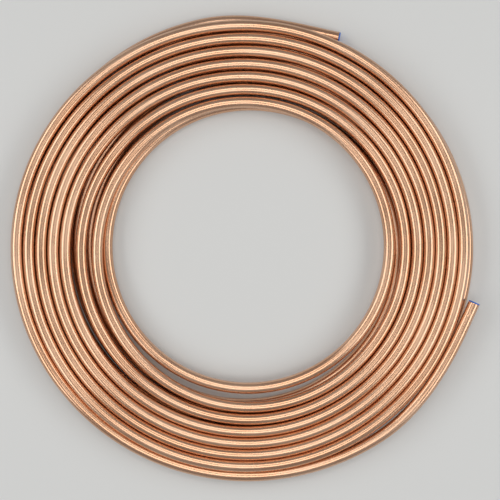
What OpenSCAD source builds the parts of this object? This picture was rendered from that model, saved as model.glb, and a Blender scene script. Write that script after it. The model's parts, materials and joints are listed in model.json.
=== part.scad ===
// Soft copper tube wound as a flat coil of two layers, with a plastic plug in each open end.
// The coil lies on the floor: Z is up, the underside is z = 0 and the eye's centre is the origin.
// The upper layer runs inward clockwise, drops along the inner loop and comes out again below.
// Each turn is two half circles, so that the two layers are true spirals.

/* [Tube] */
// outside diameter of the tube
tube_d = 9.52; // [9:0.02:10]
// wall thickness of the tube
tube_wall = 0.8; // [0.7:0.05:1]
// free space between neighbouring turns of the upper layer
turn_gap = 0.8; // [0.1:0.05:1]
// free space between neighbouring turns of the lower layer, which is wound more loosely
lower_gap = 1.8; // [0.1:0.1:3]
// free space between the two layers
layer_gap = 0.1; // [0.06:0.02:0.3]

/* [Coil] */
// inside diameter of the coil, across its eye
eye_d = 224; // [200:1:250]
// turns in the upper layer outside the inner loop
upper_turns = 7; // [5:1:9]
// turns in the lower layer outside the inner loop
lower_turns = 6; // [5:1:8]
// how far a lower turn moves outward in the +Y half, the rest of the pitch comes in the other
lower_step = 2; // [1:0.1:4]

/* [Ends] */
// direction of the upper end from the centre where it starts to leave the coil
upper_leaves_at = 331; // [320:1:336]
// direction of the lower end from the centre where it starts to leave the coil
lower_leaves_at = 82; // [76:1:90]
// radius of the gentle bend before each straight end
end_bend_r = 340; // [320:10:400]
// angle of that gentle bend
end_bend_angle = 4.4; // [4.2:0.1:5]
// straight length at each end
end_straight = 24; // [20:1:30]
// length at each end's root that stays solid, behind the open bore
bore_stop = 2; // [1:1:6]

/* [Plug] */
// clearance all round the plug's stem in the bore
stem_clearance = 0.16; // [0.06:0.02:0.3]
// length of the plug's stem
stem_l = 12; // [8:1:16]
// how far the plug's flange stays inside the tube's outside
flange_inset = 0.06; // [0.02:0.02:0.2]
// thickness of the plug's flange
flange_t = 1.1; // [0.8:0.1:1.6]
// depth of the hollow in the plug's outer face
dish_depth = 0.5; // [0.3:0.1:0.6]

/* [Hidden] */
$fn = 64;
pitch = tube_d + turn_gap;            // from one upper turn to the next
lower_pitch = tube_d + lower_gap;     // from one lower turn to the next
loop_r = eye_d / 2 + tube_d / 2;      // centre line of the inner loop
low_z = tube_d / 2;                   // height of the lower layer's centre line
high_z = low_z + tube_d + layer_gap;  // height of the upper layer's centre line
mid_z = (low_z + high_z) / 2;         // between the layers
core_lap = 1;                         // the lower core reaches this far into the upper one
bore_d = tube_d - 2 * tube_wall;
bore_depth = end_straight - bore_stop;
stem_d = bore_d - 2 * stem_clearance;
flange_d = tube_d - 2 * flange_inset;
dish_wall = 1.2;                      // the flange's dish leaves this much of the stem round it
link_d = tube_d - 0.16;               // the drop and the bends are a hair thinner and reach
link = 0.05;                          // this far into their neighbours, to join them cleanly
drop_angle = atan((high_z - mid_z) / loop_r);
drop_r = loop_r / cos(drop_angle);
upper_r = loop_r + upper_turns * pitch;                         // outermost upper turn
lower_r = loop_r + lower_turns * lower_pitch + lower_step / 2;  // outermost lower turn
copper = [0.80, 0.46, 0.30];
blue = [0.06, 0.30, 0.80];

// half of one layer, from direction from on: turns about x = cx at height z, the first of
// radius r and each step further out, and the solid that joins their centre lines between
// heights z1 and z2
module half_layer(from, cx, r, step, turns, z, z1, z2) {
    translate([cx, 0, 0]) rotate_extrude(start = from, angle = 180) {
        for (k = [0 : turns - 1])
            translate([r + k * step, z]) circle(d = tube_d);
        translate([r, z1]) square([(turns - 1) * step, z2 - z1]);
    }
}

// part of one turn about x = cx, from one direction to another
module arc(cx, r, z, from, to, d = tube_d) {
    translate([cx, 0, z]) rotate_extrude(start = from, angle = to - from)
        translate([r, 0]) circle(d = d);
}

// the upper turns step inward in the +Y half and keep their radius in the other
module upper_layer() {
    half_layer(0, -pitch / 2, loop_r + pitch / 2, pitch, upper_turns, high_z, mid_z, high_z);
    half_layer(180, 0, loop_r + pitch, pitch, upper_turns - 1, high_z, mid_z, high_z);
    arc(0, upper_r, high_z, 180, upper_leaves_at);
}

// the lower turns step outward a little in the +Y half and the rest in the other
module lower_layer() {
    half_layer(0, lower_step / 2, loop_r + lower_pitch + lower_step / 2,
        lower_pitch, lower_turns - 1, low_z, low_z, mid_z + core_lap);
    half_layer(180, (lower_step - lower_pitch) / 2, loop_r + (lower_step + 3 * lower_pitch) / 2,
        lower_pitch, lower_turns - 1, low_z, low_z, mid_z + core_lap);
    arc(lower_step / 2, lower_r, low_z, lower_leaves_at, 180);
    // the first turn
    arc(0, loop_r, low_z, 0, 90);
    arc(-lower_pitch / 2, loop_r + lower_pitch / 2, low_z, 180, 360);
}

// the inner loop: a quarter in the upper layer, then a half that slopes down to the lower one
module inner_loop() {
    more = link / loop_r * 180 / PI;
    arc(0, loop_r, high_z, 270, 360);
    translate([0, 0, mid_z]) rotate([-drop_angle, 0, 0])
        arc(0, drop_r, 0, 90 - more, 270 + more, link_d);
}

// the frame of the point where an end leaves the turn of radius r about x = cx
module leaving(cx, r, leaves_at, z) {
    translate([cx, 0, z]) rotate([0, 0, leaves_at]) translate([r - end_bend_r, 0, 0]) children();
}

// the frame of an end's mouth, Z out of the tube; side is 1 or -1, the way the end points round
module mouth(side) {
    rotate([0, 0, side * end_bend_angle]) translate([end_bend_r, side * end_straight, 0])
        rotate([-side * 90, 0, 0]) children();
}

// the gentle bend and the straight length that lead away from the coil
module end_run(side) {
    more = link / end_bend_r * 180 / PI;
    rotate([0, 0, side > 0 ? -more : -end_bend_angle - more])
        arc(0, end_bend_r, 0, 0, end_bend_angle + 2 * more, link_d);
    mouth(side) translate([0, 0, -end_straight]) cylinder(h = end_straight, d = tube_d);
}

module upper_end() leaving(0, upper_r, upper_leaves_at, high_z) children();
module lower_end() leaving(lower_step / 2, lower_r, lower_leaves_at, low_z) children();

module copper_tube() {
    color(copper) difference() {
        union() {
            upper_layer();
            lower_layer();
            inner_loop();
            upper_end() end_run(1);
            lower_end() end_run(-1);
        }
        upper_end() mouth(1) translate([0, 0, -bore_depth]) cylinder(h = bore_depth + 1, d = bore_d);
        lower_end() mouth(-1) translate([0, 0, -bore_depth]) cylinder(h = bore_depth + 1, d = bore_d);
    }
}

// a push-in plug: round stem with a thin dished flange that meets the tube's end
module plug() {
    difference() {
        union() {
            translate([0, 0, -stem_l]) cylinder(h = stem_l + flange_t / 2, d = stem_d);
            cylinder(h = flange_t, d = flange_d);
        }
        translate([0, 0, flange_t - dish_depth]) cylinder(h = 2, d = stem_d - 2 * dish_wall);
    }
}

module end_plug_upper() color(blue) upper_end() mouth(1) plug();
module end_plug_lower() color(blue) lower_end() mouth(-1) plug();

copper_tube();
end_plug_upper();
end_plug_lower();
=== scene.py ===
import json
import math
import bisect
import bpy
import bmesh
from mathutils import Matrix, Vector


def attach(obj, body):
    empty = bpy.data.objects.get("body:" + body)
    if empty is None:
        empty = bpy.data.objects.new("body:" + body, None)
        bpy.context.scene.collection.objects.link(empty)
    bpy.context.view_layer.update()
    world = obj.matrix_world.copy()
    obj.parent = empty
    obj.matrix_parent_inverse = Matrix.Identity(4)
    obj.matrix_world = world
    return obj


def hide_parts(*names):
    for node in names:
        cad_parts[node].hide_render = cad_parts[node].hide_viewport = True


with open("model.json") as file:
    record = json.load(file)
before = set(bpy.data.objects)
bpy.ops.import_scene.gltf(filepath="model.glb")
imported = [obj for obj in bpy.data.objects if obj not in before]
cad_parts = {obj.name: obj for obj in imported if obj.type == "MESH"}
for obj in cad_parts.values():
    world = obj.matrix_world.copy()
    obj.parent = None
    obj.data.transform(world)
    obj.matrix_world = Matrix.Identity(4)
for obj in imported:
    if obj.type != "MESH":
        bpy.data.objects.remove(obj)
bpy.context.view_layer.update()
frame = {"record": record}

# A coil of soft copper tube in two layers, with a blue plug in each end, seen from straight above.

MM = 0.001
ends = {m["name"]: m for m in frame["record"]["mounts"] if m["kind"] == "pin"}
UPPER_END = ends["tube_end_upper"]
LOWER_END = ends["tube_end_lower"]
TUBE_R = UPPER_END["dims"]["r_mm"] * MM
END_RUN = UPPER_END["dims"]["length_mm"] * MM   # the straight length at each end
WALL = 0.8 * MM
BORE_R = TUBE_R - WALL
BORE_DEPTH = 22 * MM
LOW = LOWER_END["pos_m"][2]                     # height of the lower layer's centre line
HIGH = UPPER_END["pos_m"][2]                    # and of the upper layer's

# How the tube is wound. Each row holds the directions 0, 270, 180 and 90 degrees, in the order in
# which the tube passes them: the radius of a layer's outermost turn, and the step between turns.
UPPER_TURNS = 7
UPPER_OUTER = (188.6, 190.4, 189.9, 182.4)
UPPER_STEP = (9.6, 9.55, 10.05, 10.5)
UPPER_SLACK = (0, 0.6, 3.1, 0)         # the SLACK_TURNS innermost turns lie further in, by this a turn
SLACK_TURNS = 2
INNER_LOOP = (117.5, 116.6, 116.2, 118.3)
LOWER_TURNS = 6
LOWER_OUTER = (183.4, 180.4, 185.6, 189.2)
LOWER_STEP = (10.8, 9.9, 11.0, 11.2)
LEAD_IN = 192.0                        # the ends come in from and go out to this radius
# Where the tube is in neither layer, by quarter turns from the start: how much further out it
# lies, and its height. It sinks between its neighbours there, or drops to the lower layer.
SETTLED = {1: (-1.2, 9.6), 24: (0, 12.2), 29: (0, 12.6), 30: (0, 7.8)}
LOOP_END = 4 * UPPER_TURNS + 3  # quarter turns from the start to where the tube lies low
LEAVES_UPPER = 0.62             # quarter turns at which the upper end leaves the coil
LEAVES_LOWER = 54.88            # and the lower end
LINE_STEPS = 14000              # points of the centre line on the coil, about a millimetre apart
RING_STEP = 5 * MM              # between two rings of the tube's mesh
END_RING_STEP = 0.7 * MM        # and near the ends, where the tube is nicked
FINE_LENGTH = 16 * MM           # how far from each end that is
SECTION_DETAIL = 12             # gives the round section 28 points
NICK_AT = 10.4 * MM             # a shallow nick from the cutter runs round, this far from each end
NICK_WIDTH = 0.7 * MM
NICK_DEPTH = 0.035              # as a share of the tube's radius
LIP_ROUND = 0.12 * MM           # the rounding of both edges of the cut end


def coil_radii():
    """The centre line's radius in mm at each quarter turn, the upper layer first."""
    values = []
    for turn in range(UPPER_TURNS):
        slack = max(turn + 1 + SLACK_TURNS - UPPER_TURNS, 0)
        values += [outer - turn * step - slack * more
                   for outer, step, more in zip(UPPER_OUTER, UPPER_STEP, UPPER_SLACK)]
    values += INNER_LOOP
    for turn in reversed(range(LOWER_TURNS)):
        values += [outer - turn * step for outer, step in zip(LOWER_OUTER, LOWER_STEP)]
    values[0] = LEAD_IN
    first_lower = 4 * (UPPER_TURNS + 1)
    values[first_lower] = (values[first_lower - 1] + values[first_lower + 1]) / 2
    values += [LEAD_IN] * 4
    return [value + SETTLED.get(q, (0, 0))[0] for q, value in enumerate(values)]


radii = [r * MM for r in coil_radii()]
heights = [SETTLED[q][1] * MM if q in SETTLED else (HIGH if q < LOOP_END else LOW)
           for q in range(len(radii))]


# --- the tube's centre line ---------------------------------------------------------------

def between(values, q):
    """The smooth value at q, where values holds one number for each whole q."""
    i = min(max(int(q), 1), len(values) - 3)
    t = q - i
    a, b, c, d = values[i - 1:i + 3]
    return b + t / 2 * (c - a + t * (2 * a - 5 * b + 4 * c - d + t * (3 * (b - c) + d - a)))


def on_coil(q):
    """The point q quarter turns along the coil, which turns clockwise from +X."""
    angle = -q * math.pi / 2
    r = between(radii, q)
    z = min(max(between(heights, q), LOW), HIGH)
    return Vector((r * math.cos(angle), r * math.sin(angle), z))


def heading(q, near=0.01):
    """The way along the coil at q."""
    return (on_coil(q + near) - on_coil(q - near)).normalized()


def blend_run(start, start_way, end, end_way, count=80):
    """Points of a smooth run from start to end, with its ways there, without the last one."""
    reach = (end - start).length
    points = []
    for k in range(count):
        t = k / count
        points.append(start * (2 * t**3 - 3 * t**2 + 1) + start_way * reach * (t**3 - 2 * t**2 + t)
                      + end * (3 * t**2 - 2 * t**3) + end_way * reach * (t**3 - t**2))
    return points


def mouth_of(end):
    """The centre of an end's mouth and the way out of it."""
    way = Vector(end["axis"]).normalized()
    return Vector(end["pos_m"]) + way * END_RUN / 2, way


def centre_line():
    """The whole centre line as a fine line of points, upper mouth first."""
    mouth, way = mouth_of(UPPER_END)
    root = mouth - way * END_RUN
    points = [mouth]
    points += blend_run(root, -way, on_coil(LEAVES_UPPER), heading(LEAVES_UPPER))
    for k in range(LINE_STEPS):
        points.append(on_coil(LEAVES_UPPER + (LEAVES_LOWER - LEAVES_UPPER) * k / LINE_STEPS))
    mouth, way = mouth_of(LOWER_END)
    root = mouth - way * END_RUN
    points += blend_run(on_coil(LEAVES_LOWER), heading(LEAVES_LOWER), root, way)
    return points + [root, mouth]


def ring_places(total):
    """Distances along the tube at which its mesh has a ring: close at the ends."""
    fine = [k * END_RING_STEP for k in range(int(FINE_LENGTH / END_RING_STEP) + 1)]
    first, last = fine[-1], total - fine[-1]
    count = round((last - first) / RING_STEP)
    middle = [first + (last - first) * k / count for k in range(1, count)]
    return fine + middle + [total - d for d in reversed(fine)]


def along(points, places):
    """The points at those distances along a line of points."""
    done = [0.0]
    for a, b in zip(points, points[1:]):
        done.append(done[-1] + (b - a).length)
    out = []
    for d in places:
        i = min(max(bisect.bisect_left(done, d), 1), len(done) - 1)
        t = (d - done[i - 1]) / (done[i] - done[i - 1])
        out.append(points[i - 1].lerp(points[i], t))
    return out


def length_of(points):
    return sum((b - a).length for a, b in zip(points, points[1:]))


def nicked(d, total):
    """The tube's radius at distance d, as a share of its full radius."""
    from_end = min(d, total - d)
    return 1 - NICK_DEPTH * math.exp(-((from_end - NICK_AT) / NICK_WIDTH) ** 2)


# --- small helpers ------------------------------------------------------------------------

def add_object(name, mesh):
    piece = bpy.data.objects.new(name, mesh)
    bpy.context.scene.collection.objects.link(piece)
    return piece


def linear(hex_colour):
    """An sRGB hex colour as the linear RGBA that a socket takes."""
    parts = [int(hex_colour[i:i + 2], 16) / 255 for i in (1, 3, 5)]
    return [c / 12.92 if c <= 0.04045 else ((c + 0.055) / 1.055) ** 2.4 for c in parts] + [1]


def add(tree, kind, inputs=None, **settings):
    """Adds a node with its settings; an input is given a value, or a socket to link it to."""
    made = tree.nodes.new(kind)
    for key, value in settings.items():
        setattr(made, key, value)
    for key, value in (inputs or {}).items():
        if isinstance(value, bpy.types.NodeSocket):
            tree.links.new(value, made.inputs[key])
        else:
            made.inputs[key].default_value = value
    return made


def new_material(name):
    """A material with an empty tree and its output node."""
    material = bpy.data.materials.new(name)
    material.use_nodes = True
    material.node_tree.nodes.clear()
    return material, material.node_tree, material.node_tree.nodes.new("ShaderNodeOutputMaterial")


# --- materials ----------------------------------------------------------------------------

def drawn_copper():
    """Soft copper tube, bright drawn and annealed: a warm mirror blurred by fine lines that the
    die left along the tube, with faint bands of pinker and browner metal from handling."""
    material, tree, out = new_material("drawn copper tube")
    place = add(tree, "ShaderNodeAttribute", attribute_name="straight").outputs["Vector"]
    # die lines, really some 0.05 mm apart, are drawn 0.7 mm apart so that they show
    stretch = add(tree, "ShaderNodeMapping", {"Vector": place, "Scale": (4, 1400, 1400)})
    lines = add(tree, "ShaderNodeTexNoise",
                {"Vector": stretch.outputs[0], "Scale": 1.0, "Detail": 4.0, "Roughness": 0.65})
    # handling marks and bloom, some 60 mm long and 8 mm across
    patch_map = add(tree, "ShaderNodeMapping", {"Vector": place, "Scale": (16, 120, 120)})
    patches = add(tree, "ShaderNodeTexNoise",
                  {"Vector": patch_map.outputs[0], "Scale": 1.0, "Detail": 3.0, "Roughness": 0.6})
    tone = add(tree, "ShaderNodeMapRange",
               {"Value": patches.outputs["Fac"], "From Min": 0.35, "From Max": 0.65})
    body = add(tree, "ShaderNodeMix", {"Factor": tone.outputs[0], 6: linear("#DCAC8B"),
                                       7: linear("#EBC2A4")}, data_type="RGBA")
    streak = add(tree, "ShaderNodeMapRange",
                 {"Value": lines.outputs["Fac"], "From Min": 0.3, "From Max": 0.7,
                  "To Min": 0.88, "To Max": 1.04})
    colour = add(tree, "ShaderNodeVectorMath",
                 {0: body.outputs[2], 1: streak.outputs[0]}, operation="MULTIPLY")
    rough = add(tree, "ShaderNodeMapRange",
                {"Value": patches.outputs["Fac"], "From Min": 0.3, "From Max": 0.7,
                 "To Min": 0.2, "To Max": 0.31})
    bump = add(tree, "ShaderNodeBump",
               {"Height": lines.outputs["Fac"], "Strength": 0.2, "Distance": 0.00008})
    shader = add(tree, "ShaderNodeBsdfPrincipled",
                 {"Base Color": colour.outputs[0], "Metallic": 1.0,
                  "Roughness": rough.outputs[0], "Normal": bump.outputs[0]})
    tree.links.new(shader.outputs[0], out.inputs[0])
    return material


def moulded_polyethylene():
    """Injection-moulded blue polyethylene: waxy, softly glossy, a little uneven in tone."""
    material, tree, out = new_material("moulded blue polyethylene")
    place = add(tree, "ShaderNodeTexCoord").outputs["Object"]
    # flow marks of the mould, about 2 mm across
    flow = add(tree, "ShaderNodeTexNoise", {"Vector": place, "Scale": 500.0, "Detail": 3.0})
    colour = add(tree, "ShaderNodeMix", {"Factor": flow.outputs["Fac"], 6: linear("#0056B4"),
                                         7: linear("#0078DC")}, data_type="RGBA")
    # sparked mould surface, 0.2 mm grains
    grain = add(tree, "ShaderNodeTexNoise", {"Vector": place, "Scale": 5000.0, "Detail": 2.0})
    bump = add(tree, "ShaderNodeBump",
               {"Height": grain.outputs["Fac"], "Strength": 0.25, "Distance": 0.00005})
    shader = add(tree, "ShaderNodeBsdfPrincipled",
                 {"Base Color": colour.outputs[2], "Roughness": 0.38, "IOR": 1.51,
                  "Subsurface Weight": 0.1, "Subsurface Scale": 0.001,
                  "Normal": bump.outputs[0]})
    tree.links.new(shader.outputs[0], out.inputs[0])
    return material


def pale_floor():
    """Smooth matt paint on a flat board, pale grey, with a soft even tone."""
    material, tree, out = new_material("pale matt floor")
    shader = add(tree, "ShaderNodeBsdfPrincipled",
                 {"Base Color": linear("#D6D8D9"), "Roughness": 0.7})
    tree.links.new(shader.outputs[0], out.inputs[0])
    return material


# --- the tube -----------------------------------------------------------------------------

def extended(bm, edges):
    """Extrudes a ring of open edges in place and gives the new ring's points and edges."""
    made = bmesh.ops.extrude_edge_only(bm, edges=edges)["geom"]
    verts = [g for g in made if isinstance(g, bmesh.types.BMVert)]
    ring = [g for g in made if isinstance(g, bmesh.types.BMEdge) and g.is_boundary]
    return verts, ring


def close_end(bm, mouth, way):
    """Gives the open edge at a mouth its square lip, the bore and the bore's dark bottom."""
    rim = [e for e in bm.edges if e.is_boundary and (e.verts[0].co - mouth).length < 2 * TUBE_R]
    verts, bore_edge = extended(bm, rim)
    bmesh.ops.scale(bm, vec=(BORE_R / TUBE_R,) * 3, space=Matrix.Translation(-mouth), verts=verts)
    verts, bottom = extended(bm, bore_edge)
    bmesh.ops.translate(bm, vec=-way * BORE_DEPTH, verts=verts)
    bmesh.ops.holes_fill(bm, edges=bottom, sides=0)
    bmesh.ops.bevel(bm, geom=rim + bore_edge, offset=LIP_ROUND, offset_type="OFFSET",
                    segments=2, profile=0.5, affect="EDGES", material=-1)


def copper_tube(material):
    """The whole tube: a round section swept along the centre line, with its two open ends."""
    line = centre_line()
    total = length_of(line)
    places = ring_places(total)
    curve = bpy.data.curves.new("copper_tube_line", "CURVE")
    curve.dimensions = "3D"
    curve.twist_mode = "Z_UP"
    curve.bevel_mode = "ROUND"
    curve.bevel_depth = TUBE_R
    curve.bevel_resolution = SECTION_DETAIL
    spline = curve.splines.new("POLY")
    spline.points.add(len(places) - 1)
    for point, d, co in zip(spline.points, places, along(line, places)):
        point.co = (*co, 1)
        point.radius = nicked(d, total)
    swept = bpy.data.objects.new("copper_tube_line", curve)
    mesh = bpy.data.meshes.new_from_object(swept)
    bpy.data.objects.remove(swept)
    # the place of each point on the tube if it were straight, for the lines of the drawing
    sides = len(mesh.vertices) // len(places)
    straight = mesh.attributes.new("straight", "FLOAT_VECTOR", "POINT")
    for i, item in enumerate(straight.data):
        turn = 2 * math.pi * (i % sides) / sides
        item.vector = (places[i // sides], TUBE_R * math.cos(turn), TUBE_R * math.sin(turn))
    bm = bmesh.new()
    bm.from_mesh(mesh)
    for end in (UPPER_END, LOWER_END):
        close_end(bm, *mouth_of(end))
    bmesh.ops.recalc_face_normals(bm, faces=bm.faces)
    for face in bm.faces:
        face.smooth = True
    bm.to_mesh(mesh)
    bm.free()
    mesh.materials.clear()
    mesh.materials.append(material)
    mesh.set_sharp_from_angle(angle=math.radians(40))
    return add_object("copper_tube_wound", mesh)


# --- the plugs ----------------------------------------------------------------------------

# Half section of a plug in mm, as distance from its axis and along it, out of the tube: the
# round tip, three sealing ribs, the flange with its soft rim, and the dish of its outer face.
PLUG_SECTION = [
    (0.0, -12.0), (2.4, -12.0), (3.0, -11.6), (3.3, -10.8),
    (3.3, -8.6), (3.8, -8.2), (3.3, -7.4), (3.3, -5.8), (3.8, -5.4), (3.3, -4.6),
    (3.3, -3.0), (3.8, -2.6), (3.3, -1.8), (3.3, 0.0),
    (4.5, 0.0), (4.68, 0.15), (4.7, 0.5), (4.6, 0.85), (4.3, 1.05), (3.9, 1.1),
    (3.0, 1.08), (2.6, 0.95), (2.45, 0.7), (2.2, 0.6), (0.7, 0.6), (0.6, 0.72), (0.4, 0.8), (0.0, 0.8),
]


def end_plug(name, end, material):
    """A push-in plug, its section spun about the tube's axis."""
    mouth, way = mouth_of(end)
    bm = bmesh.new()
    verts = [bm.verts.new((r * MM, 0, h * MM)) for r, h in PLUG_SECTION]
    edges = [bm.edges.new(pair) for pair in zip(verts, verts[1:])]
    bmesh.ops.spin(bm, geom=verts + edges, cent=(0, 0, 0), axis=(0, 0, 1),
                   angle=2 * math.pi, steps=48, use_merge=True, use_duplicate=False)
    bmesh.ops.remove_doubles(bm, verts=bm.verts, dist=0.001 * MM)
    bmesh.ops.recalc_face_normals(bm, faces=bm.faces)
    bm.transform(Matrix.Translation(mouth) @ way.to_track_quat("Z", "Y").to_matrix().to_4x4())
    for face in bm.faces:
        face.smooth = True
    mesh = bpy.data.meshes.new(name)
    bm.to_mesh(mesh)
    bm.free()
    mesh.materials.append(material)
    mesh.set_sharp_from_angle(angle=math.radians(50))
    return add_object(name, mesh)


# --- camera, lights and floor -------------------------------------------------------------

VIEW_HEIGHT = 1.0              # camera above the floor
VIEW_WIDTH = 0.412             # what the picture spans at the height of the upper layer
VIEW_AIM = (0.0025, -0.0025)   # the point under the camera

camera_data = bpy.data.cameras.new("camera")
camera_data.sensor_width = 36
camera_data.lens = camera_data.sensor_width * (VIEW_HEIGHT - HIGH) / VIEW_WIDTH
camera = add_object("camera", camera_data)
camera.location = (*VIEW_AIM, VIEW_HEIGHT)
bpy.context.scene.camera = camera


def soft_light(name, place, size, power, target=(0, 0, 0), colour="#FFFFFF"):
    """A rectangular softbox at place that faces target."""
    data = bpy.data.lights.new(name, "AREA")
    data.shape = "RECTANGLE"
    data.size, data.size_y = size
    data.energy = power
    data.color = linear(colour)[:3]
    light = add_object(name, data)
    light.location = place
    light.rotation_euler = (Vector(target) - Vector(place)).to_track_quat("-Z", "Y").to_euler()


def studio():
    """Two long strips at the sides, two panels overhead, and a dim even surround."""
    for side in (-1, 1):
        soft_light("side_strip", (side * 1.25, 0, 0.98), (2.4, 0.7), 11, colour="#FFFDF8")
        soft_light("top_panel", (0, side * 0.42, 1.3), (0.7, 0.5), 2.4, (0, side * 0.42, 0),
                   colour="#FFF8EE")
    world = bpy.data.worlds.new("surround")
    world.use_nodes = True
    world.node_tree.nodes["Background"].inputs[0].default_value = linear("#F4F6FA")
    world.node_tree.nodes["Background"].inputs[1].default_value = 0.33
    bpy.context.scene.world = world
    bm = bmesh.new()
    bmesh.ops.create_circle(bm, cap_ends=True, segments=64, radius=4.0)
    mesh = bpy.data.meshes.new("floor")
    bm.to_mesh(mesh)
    bm.free()
    mesh.materials.append(pale_floor())
    add_object("floor", mesh)


# --- everything together ------------------------------------------------------------------

studio()

tube = copper_tube(drawn_copper())
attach(tube, "root")
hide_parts("copper_tube")

blue_plastic = moulded_polyethylene()
for name, end in (("end_plug_upper", UPPER_END), ("end_plug_lower", LOWER_END)):
    plug = end_plug(name + "_moulded", end, blue_plastic)
    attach(plug, "root")
    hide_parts(name)

bpy.context.scene.view_settings.view_transform = "Standard"
